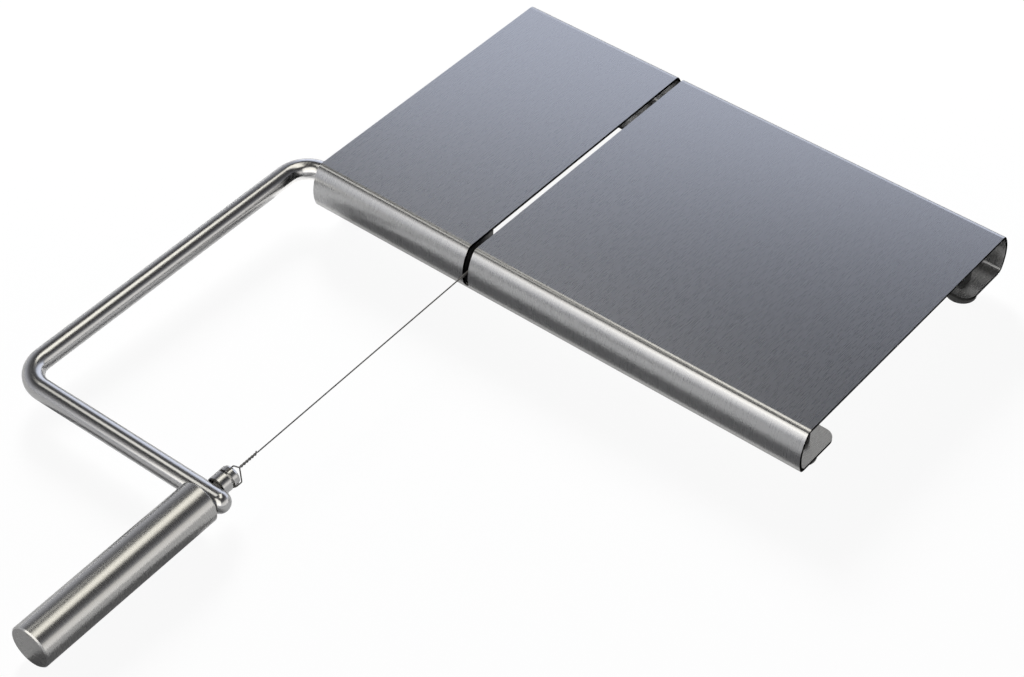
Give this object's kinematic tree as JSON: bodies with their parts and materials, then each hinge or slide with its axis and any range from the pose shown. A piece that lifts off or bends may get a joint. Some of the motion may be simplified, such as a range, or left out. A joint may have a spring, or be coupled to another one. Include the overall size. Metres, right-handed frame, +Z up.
{
  "type": "wire food slicer",
  "caption": "Rolled steel sheet board with a cutting slot and a bent rod lever that swings a taut wire into it; turning the bar grip tightens the wire.",
  "frame": {"origin": "centre of the board's flat top face", "axes": "+X along the board away from the lever's arm, +Y across it from the lever's rest side to the far side, +Z up out of the flat top"},
  "size_m": [0.2345, 0.3498, 0.0245],
  "materials": {
    "sheet_steel": "brushed across the board and round the rolls, satin",
    "rod_steel": "fine brushed, satin",
    "grip_steel": "finely turned, satin",
    "stud_steel": "turned, satin",
    "wire_steel": "drawn steel wire",
    "small_steel": "plain steel",
    "black_plastic": "matt moulded nylon",
    "black_rubber": "matt rubber"
  },
  "bodies": {
    "board": {"board_sheet": "sheet_steel", "bearing_left": "black_plastic", "bearing_middle": "black_plastic", "bearing_right": "black_plastic", "bearing_screws": "small_steel", "foot_near_left": "black_rubber", "foot_near_right": "black_rubber", "foot_far_left": "black_rubber", "foot_far_right": "black_rubber"},
    "lever": {"lever_rod": "rod_steel", "retaining_rings": "small_steel"},
    "grip": {"grip": "grip_steel"},
    "tension_screw": {"tension_stud": "stud_steel", "cutting_wire": "wire_steel"}
  },
  "joints": [
    {"name": "lever_swing", "type": "hinge", "parent": "board", "child": "lever", "pos_m": [-0.0357, -0.05734, -0.00955], "axis": [-1, 0, 0], "range_deg": [0, 178.77]},
    {"name": "grip_turn", "type": "hinge", "parent": "lever", "child": "grip", "pos_m": [-0.0357, -0.20486, -0.01411], "axis": [0, -0.9995, -0.0309], "range_deg": [0, 360]},
    {"name": "stud_slide", "type": "slide", "parent": "lever", "child": "tension_screw", "axis": [0, 0.9995, 0.0309], "range_m": [0, 0.0007]}
  ],
  "couplings": [
    {"joint": "stud_slide", "follows": "grip_turn", "m_per_rad": 0.00011141}
  ]
}
